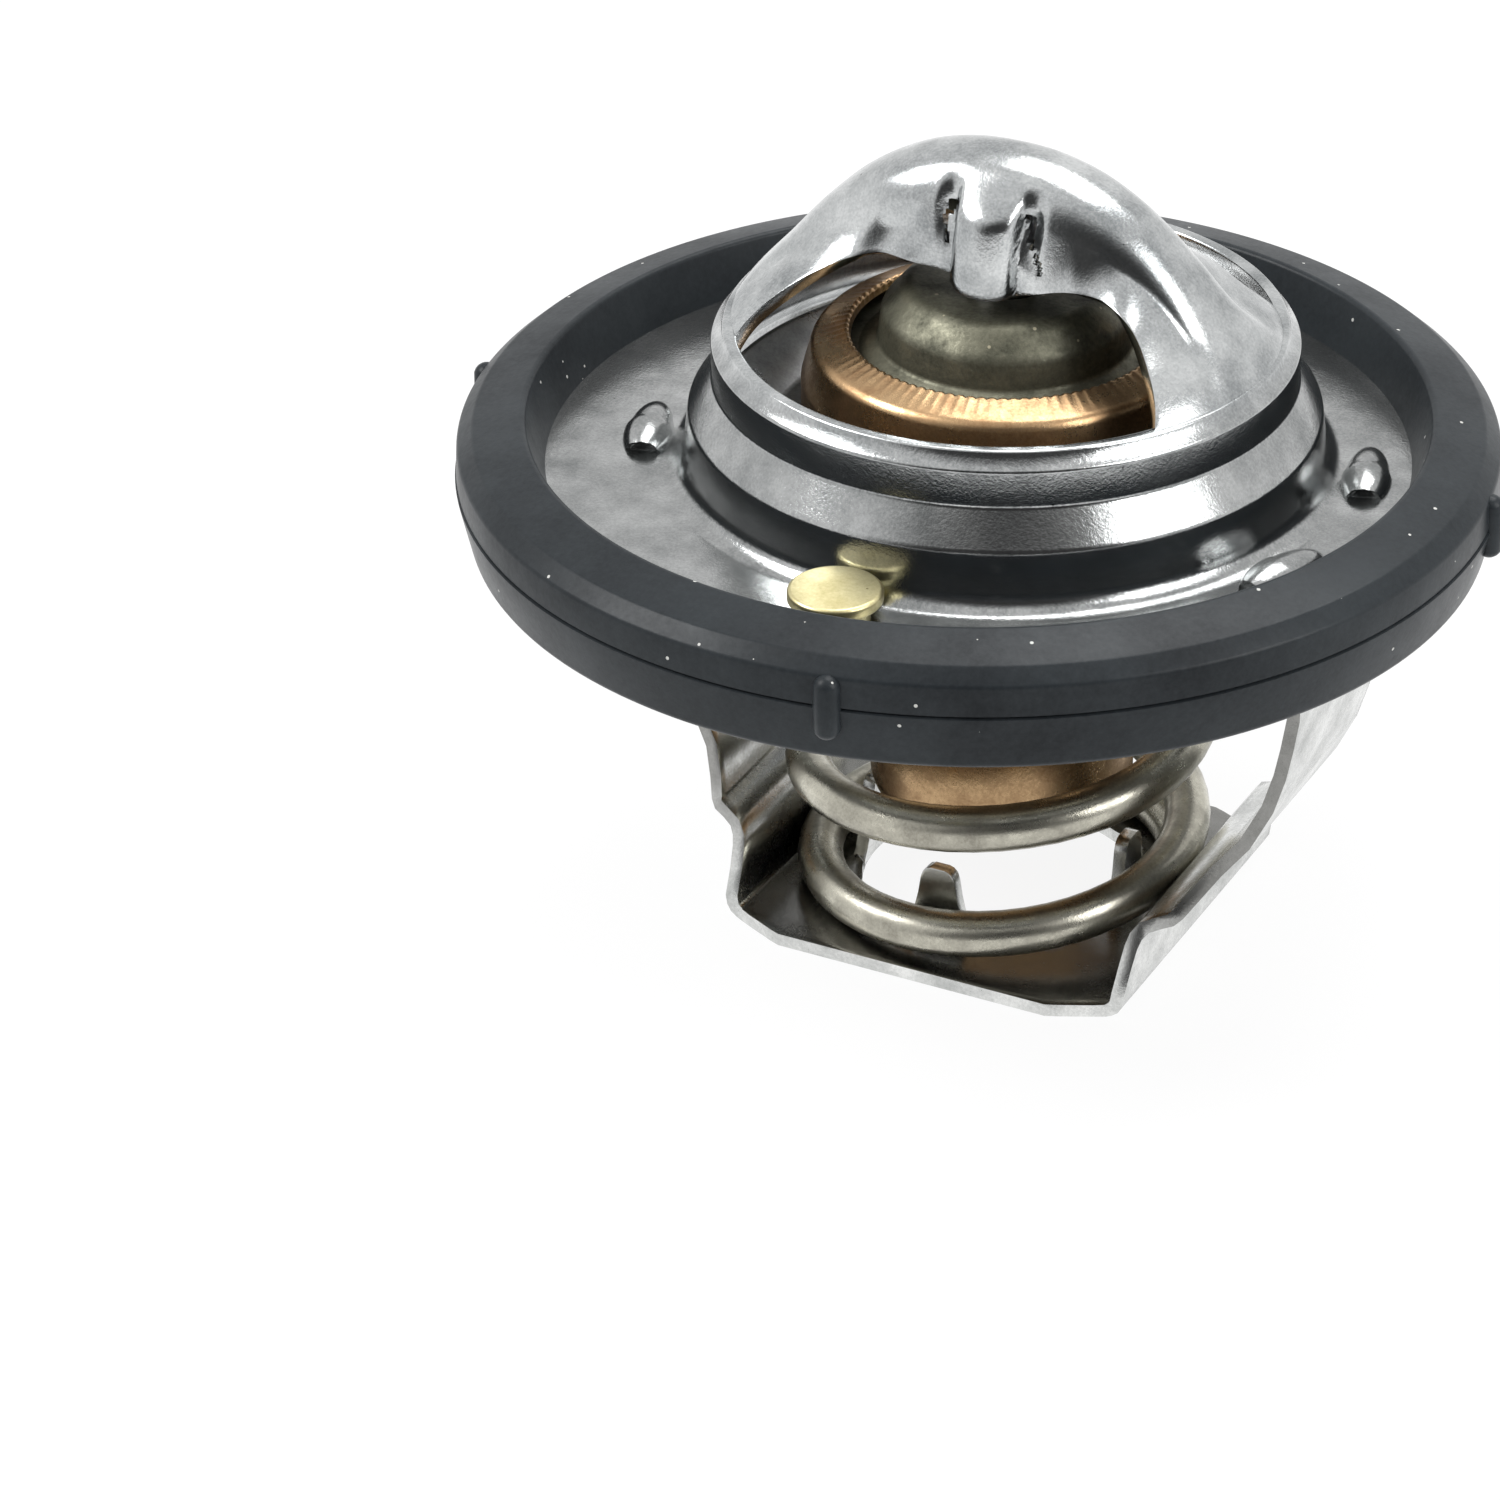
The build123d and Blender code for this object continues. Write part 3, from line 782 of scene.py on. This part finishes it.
# %% [markdown]
# A leg bends out at its foot, narrows, climbs in a slack curve and ends under the flange. Boxes
# would be quicker, but a folded strip has round bends and one gauge all along. So each leg is
# extruded from the base's edge fold by fold, and scaled at each.

# %% Legs
LEG_BELLY = {1: 0.9, -1: -0.5}   # how far the right and the left leg bow outwards
BELLY_Z = 11.5             # height of that belly
BELLY_HALF = 6.5           # and how far it reaches up and down
LEG_FOLDS = [
    # X from the axis, height, half width of the outer face
    (12.55, 0.1, 11.1), (12.95, 0.4, 11.1), (13.2, 0.85, 11.1), (13.3, 1.5, 11.1), (13.38, 3.0, 10.3), (13.5, 4.2, 9.7),
    (13.65, 4.75, 9.4), (13.95, 5.15, 9.1), (14.6, 5.45, 8.8), (15.3, 5.75, 8.6), (15.7, 6.2, 8.3), (16.2, 7.25, 7.7),
    (17.0, 9.0, 7.05), (18.3, 11.0, 6.6), (19.8, 13.7, 6.4), (21.0, 16.1, 6.4), (21.6, 18.0, 6.4), (21.95, 20.2, 6.4),
    (22.0, 22.5, 6.4), (22.0, 24.4, 6.5), (22.0, 25.8, 7.2), (22.0, 26.8, 8.2), (22.0, 28.5, 8.6),
]


def fold_leg(side):
    """Extrude one leg from the base's edge, fold by fold, up to the flange."""
    found = pick(lambda p: side * (p.x - AXIS_X) > BASE_X - 0.02, "EDGE")
    last_x, last_z, last_half = BASE_X, 0.0, CUT_Y
    for x, z, half in LEG_FOLDS:
        x += LEG_BELLY[side] * hump(z, BELLY_Z, BELLY_HALF)
        move = (side * (x - last_x) * MM, 0, (z - last_z) * MM)
        bpy.ops.mesh.extrude_edges_move(TRANSFORM_OT_translate={"value": move})
        bpy.ops.transform.resize(value=(1, half / last_half, 1), center_override=(0, 0, 0))
        last_x, last_z, last_half = x, z, half
    return found


print("leg edges", fold_leg(1), fold_leg(-1))

# %% [markdown]
# Four tabs stand up out of the hole's edge and centre the spring. A box on the base would show a
# seam. A tab extruded from the hole's edge is the same sheet, and its first fold makes it flat.

# %% Tabs that centre the spring
TAB_R = 8.1                # distance of a tab's face from the axis
TAB_HALF = 2.6
ROOT_NEAR = 7.9            # the root's edges lie further out than this and no further aside
ROOT_HALF = 2.55
TAB_FOLDS = [
    # height, half width
    (0.6, 2.5), (1.2, 2.15), (2.4, 1.65), (3.8, 1.32), (4.9, 1.15), (5.35, 1.0), (5.6, 0.75), (5.7, 0.45),
]


def raise_tab(angle):
    """Extrude one tapered tab from the hole's edge."""
    ray = math.radians(angle)
    along = Vector((math.cos(ray), math.sin(ray)))

    def on_root(p):
        flat = Vector((p.x - AXIS_X, p.y))
        return flat.length < HOLE_R + 0.12 and flat.dot(along) > ROOT_NEAR and abs(flat.cross(along)) < ROOT_HALF

    found = pick(on_root, "EDGE")
    hub = ((AXIS_X + TAB_R * along.x) * MM, TAB_R * along.y * MM, 0)
    last_z, last_half = 0.0, TAB_HALF
    for z, half in TAB_FOLDS:
        bpy.ops.mesh.extrude_edges_move(TRANSFORM_OT_translate={"value": (0, 0, (z - last_z) * MM)})
        narrow = half / last_half
        flat = 0.0 if last_z == 0 else 1.0
        scale = (flat if abs(along.x) > 0.5 else narrow, flat if abs(along.y) > 0.5 else narrow, 1)
        bpy.ops.transform.resize(value=scale, center_override=hub)
        last_z, last_half = z, half
    return found


print("tab edges", [raise_tab(angle) for angle in (0, 90, 180, 270)])
bpy.ops.mesh.select_all(action="SELECT")
bpy.ops.mesh.normals_make_consistent(inside=False)
bpy.ops.object.mode_set(mode="OBJECT")
give_gauge(strip, 50)
finish_piece(strip, 40)
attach(strip, "housing")
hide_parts("lower_frame")

# %% [markdown]
# Now the finishes. Stamped, drawn and moulded things share the same faults: patches of duller metal,
# a fine grain, dust and soil; painted shade is laid on in the same way. Each could be painted in every
# material again. It is made here once, as a node group with named inputs, and every material then sets
# its own values. Node trees get long, so one helper adds a node and wires it.

# %% Adding shader nodes and groups
def add_node(tree, kind, inputs=None, **settings):
    """Add a shader node; inputs maps a socket's name or number to a value or to another output."""
    node = tree.nodes.new("ShaderNode" + kind)
    for name, value in settings.items():
        setattr(node, name, value)
    for socket, value in (inputs or {}).items():
        if isinstance(value, bpy.types.NodeSocket):
            tree.links.new(value, node.inputs[socket])
        else:
            node.inputs[socket].default_value = value
    return node


def add_mix(tree, share, first, second):
    """Mix two colours and return the output; a colour Mix has them on its sockets 6 and 7."""
    return add_node(tree, "Mix", {"Factor": share, 6: first, 7: second}, data_type="RGBA").outputs[2]


def new_group(name, inputs, outputs):
    """An empty node group, its named inputs and the node that takes its outputs."""
    group = bpy.data.node_groups.new(name, "ShaderNodeTree")
    for label, value in inputs.items():
        kind = {1: "Float", 3: "Vector", 4: "Color"}[len(value) if isinstance(value, tuple) else 1]
        socket = group.interface.new_socket(name=label, in_out="INPUT", socket_type="NodeSocket" + kind)
        socket.default_value = value
    for label, kind in outputs.items():
        group.interface.new_socket(name=label, in_out="OUTPUT", socket_type="NodeSocket" + kind)
    given = group.nodes.new("NodeGroupInput").outputs
    result = group.nodes.new("NodeGroupOutput").inputs
    return group, given, result


# %% [markdown]
# No sheet is of one grey. It has patches of a few millimetres and a grain as fine as flour. One
# noise of great detail could give both, but two that are added can be set apart. Colour, gloss and
# relief all follow the sum, as they do on metal.

# %% Group: mottled grain
grain, given, result = new_group(
    "Mottled grain",
    {
        "Dark": (0.2, 0.2, 0.2, 1), "Light": (0.8, 0.8, 0.8, 1), "Patch Scale": 400.0, "Grain Scale": 4000.0,
        "Smooth": 0.2, "Rough": 0.4, "Bump": 0.1,
    },
    {"Color": "Color", "Roughness": "Float", "Normal": "Vector"},
)
GRAIN_RELIEF = 0.05 * MM
GRAIN_SHARE = 0.45         # of the fine grain, against the patches
place = add_node(grain, "TexCoord").outputs["Object"]
patches = add_node(
    grain, "TexNoise", {"Vector": place, "Scale": given["Patch Scale"], "Detail": 6.0, "Roughness": 0.6}
).outputs["Fac"]
fine = add_node(
    grain, "TexNoise", {"Vector": place, "Scale": given["Grain Scale"], "Detail": 3.0, "Roughness": 0.7}
).outputs["Fac"]
both = add_node(grain, "Math", {0: fine, 1: GRAIN_SHARE, 2: patches}, operation="MULTIPLY_ADD").outputs[0]
spread = add_node(grain, "MapRange", {"Value": both, "From Min": 0.5, "From Max": 0.95}).outputs[0]
polish = add_node(grain, "MapRange", {"Value": spread, "To Min": given["Rough"], "To Max": given["Smooth"]})
relief = add_node(grain, "Bump", {"Strength": given["Bump"], "Distance": GRAIN_RELIEF, "Height": both})
grain.links.new(add_mix(grain, spread, given["Dark"], given["Light"]), result["Color"])
grain.links.new(polish.outputs[0], result["Roughness"])
grain.links.new(relief.outputs[0], result["Normal"])
print(grain.name, "nodes", len(grain.nodes))

# %% [markdown]
# Dust on rubber and pits in metal are single specks. A noise with a hard limit gives islands of
# every size. So space is cut into cells, and a cell that draws a low number holds one round speck.

# %% Group: dust specks
dust, given, result = new_group(
    "Dust specks",
    {"Base": (0.1, 0.1, 0.1, 1), "Speck": (0.5, 0.5, 0.48, 1), "Cells": 300.0, "Size": 0.04, "Share": 0.4},
    {"Color": "Color"},
)
place = add_node(dust, "TexCoord").outputs["Object"]
cells = add_node(dust, "TexVoronoi", {"Vector": place, "Scale": given["Cells"]})
near = add_node(dust, "Math", {0: cells.outputs["Distance"], 1: given["Size"]}, operation="LESS_THAN")
number = add_node(dust, "SeparateColor", {0: cells.outputs["Color"]})
drawn = add_node(dust, "Math", {0: number.outputs[0], 1: given["Share"]}, operation="LESS_THAN")
speck = add_node(dust, "Math", {0: near.outputs[0], 1: drawn.outputs[0]}, operation="MULTIPLY")
dust.links.new(add_mix(dust, speck.outputs[0], given["Base"], given["Speck"]), result["Color"])
print(dust.name, "nodes", len(dust.nodes))

# %% [markdown]
# Coolant leaves dirt where it stood, and the same darkening also paints shade and dark reflection on
# some faces. Both could be painted on by hand, but a rule does it better: a face that looks along the
# axis darkens, more and more from the start to the full height.

# %% Group: soil and painted shade
soil_and_shade, given, result = new_group(
    "Soil and painted shade",
    {
        "Base": (0.5, 0.5, 0.5, 1), "Stain and Shade": (0.10, 0.095, 0.085, 1), "Axis": (0.0, 0.0, 1.0), "Facing": 0.55,
        "Start Height": 0.0, "Full Height": 0.01, "Strength": 0.5,
    },
    {"Color": "Color"},
)
place = add_node(soil_and_shade, "TexCoord").outputs["Object"]
height = add_node(soil_and_shade, "SeparateXYZ", {0: place}).outputs["Z"]
normal = add_node(soil_and_shade, "NewGeometry").outputs["Normal"]
looks = add_node(soil_and_shade, "VectorMath", {0: normal, 1: given["Axis"]}, operation="DOT_PRODUCT").outputs["Value"]
facing = add_node(soil_and_shade, "MapRange", {"Value": looks, "From Min": given["Facing"], "From Max": 0.9}).outputs[0]
# the band darkens faces for soil and for painted shade alike, as each use sets it
band = add_node(
    soil_and_shade,
    "MapRange",
    {
        "Value": height, "From Min": given["Start Height"], "From Max": given["Full Height"],
        "To Max": given["Strength"],
    },
).outputs[0]
amount = add_node(soil_and_shade, "Math", {0: facing, 1: band}, operation="MULTIPLY").outputs[0]
soil_and_shade.links.new(add_mix(soil_and_shade, amount, given["Base"], given["Stain and Shade"]), result["Color"])
print(soil_and_shade.name, "nodes", len(soil_and_shade.nodes))

# %% [markdown]
# Every finish is the mottled grain between a dark and a light colour and between a rough and a
# smooth gloss. Bare steel, copper and brass are fully metallic, so their colour is the colour of
# what they reflect. Rubber and wax are not, and the cast guide lies between, because it is oxidised.

# %% Materials
def new_finish(name, metallic, dark, light, patch_scale, grain_scale, smooth, rough, bump):
    """A material whose colour, roughness and relief come from the mottled grain group."""
    material = bpy.data.materials.new(name)
    material.use_nodes = True
    tree = material.node_tree
    shader = tree.nodes["Principled BSDF"]
    shader.inputs["Metallic"].default_value = metallic
    values = {
        "Dark": dark + (1,), "Light": light + (1,), "Patch Scale": patch_scale, "Grain Scale": grain_scale,
        "Smooth": smooth, "Rough": rough, "Bump": bump,
    }
    effect = add_node(tree, "Group", {}, node_tree=grain)
    for label, value in values.items():
        effect.inputs[label].default_value = value
    tree.links.new(effect.outputs["Color"], shader.inputs["Base Color"])
    tree.links.new(effect.outputs["Roughness"], shader.inputs["Roughness"])
    tree.links.new(effect.outputs["Normal"], shader.inputs["Normal"])
    return material


FINISHES = {
    # name: metallic, dark, light, patches and grain per metre, smooth, rough, bump
    "bright_steel": (1.0, (0.25, 0.265, 0.27), (0.68, 0.695, 0.695), 260, 5200, 0.09, 0.22, 0.5),
    "frame_steel": (1.0, (0.46, 0.47, 0.46), (0.84, 0.845, 0.83), 300, 5000, 0.16, 0.32, 0.4),
    "valve_steel": (1.0, (0.22, 0.22, 0.22), (0.45, 0.45, 0.45), 300, 5000, 0.22, 0.42, 0.3),
    "polished_steel": (1.0, (0.6, 0.61, 0.62), (0.75, 0.76, 0.78), 300, 5000, 0.08, 0.15, 0.1),
    "spring_wire": (1.0, (0.30, 0.285, 0.24), (0.62, 0.60, 0.51), 420, 6000, 0.2, 0.4, 0.4),
    "copper": (1.0, (0.23, 0.13, 0.065), (0.57, 0.39, 0.215), 330, 5200, 0.2, 0.4, 0.4),
    "guide_alloy": (0.7, (0.055, 0.055, 0.038), (0.19, 0.185, 0.135), 520, 3800, 0.36, 0.6, 0.9),
    "pin_brass": (1.0, (0.43, 0.37, 0.18), (0.70, 0.63, 0.37), 420, 5000, 0.28, 0.45, 0.3),
    "seal_rubber": (0.0, (0.008, 0.010, 0.012), (0.022, 0.026, 0.029), 120, 2600, 0.28, 0.42, 0.3),
    "sleeve_rubber": (0.0, (0.015, 0.015, 0.015), (0.04, 0.04, 0.04), 200, 3000, 0.5, 0.7, 0.3),
    "wax": (0.0, (0.62, 0.48, 0.22), (0.80, 0.68, 0.40), 200, 2600, 0.4, 0.6, 0.3),
}
materials = {name: new_finish(name, *values) for name, values in FINISHES.items()}
SEAL_SHINE = 0.15          # moulded rubber shines less than the standard plastic
materials["seal_rubber"].node_tree.nodes["Principled BSDF"].inputs["Specular IOR Level"].default_value = SEAL_SHINE
print("materials", len(materials))

# %% [markdown]
# Only some pieces carry soil, painted shade and specks. One large group could hold every effect, but a plain finish
# would carry inputs that it never uses. So a finish that needs them leads its colour through one more group for each.

# %% Soil, painted shade and specks on single finishes
def recolour(name, group, values):
    """Pass a material's colour through one more group, which takes it as its Base."""
    tree = materials[name].node_tree
    colour = tree.nodes["Principled BSDF"].inputs["Base Color"]
    effect = add_node(tree, "Group", {}, node_tree=group)
    tree.links.new(colour.links[0].from_socket, effect.inputs["Base"])
    for label, value in values.items():
        effect.inputs[label].default_value = value
    tree.links.new(effect.outputs["Color"], colour)


SOIL_AND_SHADE = [
    # material, axis, facing, start and full height of the darkening in mm, strength
    # painted shade, partly dirt: the base's upward faces darken below 4.5 mm, where they lie under the spring and the
    # case
    ("frame_steel", (0, 0, 1), 0.55, 4.5, 1.5, 0.75),
    # frame faces that look to the front darken from 3 mm up to 7 mm
    ("frame_steel", (0, -1, 0), 0.55, 3.0, 7.0, 0.7),
    # painted dark reflection: the collar and flange darken below the lip, standing in for the dark rubber that they
    # reflect
    ("bright_steel", (0, 0, 1), -1.0, 38.6, 37.0, 0.35),
]
SPECKED = [
    # material, speck, cells per metre, size as a share of a cell, share of the cells
    ("seal_rubber", (0.42, 0.42, 0.4), 560, 0.062, 0.85),
    ("guide_alloy", (0.34, 0.31, 0.22), 900, 0.10, 0.4),
    ("pin_brass", (0.30, 0.24, 0.10), 1300, 0.09, 0.3),
    ("bright_steel", (0.10, 0.10, 0.10), 700, 0.05, 0.2),
]
for name, axis, facing, start_z, full_z, strength in SOIL_AND_SHADE:
    heights = {"Start Height": start_z * MM, "Full Height": full_z * MM}
    recolour(name, soil_and_shade, {"Axis": axis, "Facing": facing, "Strength": strength, **heights})
for name, speck, cells_per_metre, size, share in SPECKED:
    recolour(name, dust, {"Speck": speck + (1,), "Cells": cells_per_metre, "Size": size, "Share": share})
print("soiled_and_shaded", len(SOIL_AND_SHADE), "specked", len(SPECKED))


# %% Dress the pieces
def dress(piece, material):
    """Give a piece one material and nothing else."""
    piece.data.materials.clear()
    piece.data.materials.append(material)


WORN_BY = {
    collar: "bright_steel", strip: "frame_steel", plate: "valve_steel", piston: "polished_steel",
    spring: "spring_wire", case: "copper", guide: "guide_alloy", pin: "pin_brass", rim: "seal_rubber",
}
for piece, name in WORN_BY.items():
    dress(piece, materials[name])
for node, name in (("rubber_sleeve", "sleeve_rubber"), ("wax_charge", "wax")):
    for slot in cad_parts[node].material_slots:
        slot.material = materials[name]
print("dressed", len(WORN_BY), "modelled pieces and 2 hidden ones")

# %% [markdown]
# The stage is a plain white floor. A white table looks white only if it is lit more than what stands
# on it. So the floor glows for the camera and in reflections only, and the part is lit by soft
# lamps and the sky alone.

# %% Floor
bpy.ops.object.select_all(action="DESELECT")
bpy.ops.mesh.primitive_plane_add(size=6, location=(0, 0, -0.02 * MM))
floor = bpy.context.object
floor.name = "floor"
floor_paint = bpy.data.materials.new("floor_white")
floor_paint.use_nodes = True
tree = floor_paint.node_tree
matt = tree.nodes["Principled BSDF"]
matt.inputs["Base Color"].default_value = (0.9, 0.9, 0.9, 1)
matt.inputs["Roughness"].default_value = 0.8
GLOW_SHARE = 0.9
glow = add_node(tree, "Emission", {"Color": (1, 1, 1, 1)})
ray = add_node(tree, "LightPath").outputs
seen = add_node(tree, "Math", {0: ray["Is Camera Ray"], 1: ray["Is Glossy Ray"]}, operation="MAXIMUM")
veil = add_node(tree, "Math", {0: seen.outputs[0], 1: GLOW_SHARE}, operation="MULTIPLY")
surface = add_node(tree, "MixShader", {0: veil.outputs[0], 1: matt.outputs[0], 2: glow.outputs[0]})
tree.links.new(surface.outputs[0], tree.nodes["Material Output"].inputs["Surface"])
dress(floor, floor_paint)
print("floor glows for", GLOW_SHARE, "of camera and glossy rays")

# %% [markdown]
# Bright metal shows whatever stands round it. Under an even sky it would be a white shape without
# form, so the sky has one dark zone, on the side where the viewer stands. Faces that look at the
# viewer go dark, and every bend shows as a light or a dark line.

# %% Sky
scene = bpy.context.scene
scene.view_settings.view_transform = "Standard"
world = bpy.data.worlds.new("studio")
scene.world = world
world.use_nodes = True
tree = world.node_tree
TOWARDS_VIEWER = (0.45, -0.89, 0.0)
towards = add_node(tree, "TexCoord").outputs["Generated"]
front = add_node(tree, "VectorMath", {0: towards, 1: TOWARDS_VIEWER}, operation="DOT_PRODUCT").outputs["Value"]
shade = add_node(
    tree,
    "MapRange",
    {"Value": front, "From Min": 0.48, "From Max": 0.85, "To Min": 1.0, "To Max": 0.07},
    interpolation_type="SMOOTHSTEP",
)
sky = tree.nodes["Background"]
sky.inputs["Strength"].default_value = 0.95
tree.links.new(shade.outputs[0], sky.inputs["Color"])
print("sky", world.name)


# %% [markdown]
# Large soft lamps stand left, right and behind. A sun would be simpler, but polished sheet shows a
# sun as one hard point, and a square lamp as a broad window of light.

# %% Lamps
def soft_box(name, place, size, power):
    """A square lamp that looks at the middle of the part."""
    lamp = bpy.data.lights.new(name, "AREA")
    lamp.size = size
    lamp.energy = power
    holder = bpy.data.objects.new(name, lamp)
    scene.collection.objects.link(holder)
    holder.location = place
    middle = Vector((0, 0, 0.03))
    holder.rotation_euler = (middle - Vector(place)).to_track_quat("-Z", "Y").to_euler()
    return holder


lamps = [
    soft_box("key", (-0.42, -0.22, 0.50), 0.30, 3.2),
    soft_box("fill", (0.55, -0.05, 0.38), 0.35, 2.2),
    soft_box("top", (0.02, 0.25, 0.65), 0.45, 3.2),
]
print("lamps", [lamp.name for lamp in lamps])

# %% [markdown]
# A long lens from 0.37 m off keeps the rings' ellipses calm, where a wide one close up would swell
# the near side. The camera stands 25 degrees round to the right and looks 30 degrees down.

# %% Camera
CAMERA_PLACE = (0.13562, -0.28561, 0.19436)
CAMERA_TURN = (59.608, 0.7502, 27.4542)   # degrees about X, Y and Z; unturned, a camera looks down
camera_data = bpy.data.cameras.new("camera")
camera = bpy.data.objects.new("camera", camera_data)
scene.collection.objects.link(camera)
camera_data.sensor_width = 36
camera_data.lens = 144
camera_data.clip_start = 0.01
camera.location = CAMERA_PLACE
camera.rotation_euler = [math.radians(turn) for turn in CAMERA_TURN]
scene.camera = camera
print("camera", CAMERA_PLACE, CAMERA_TURN)
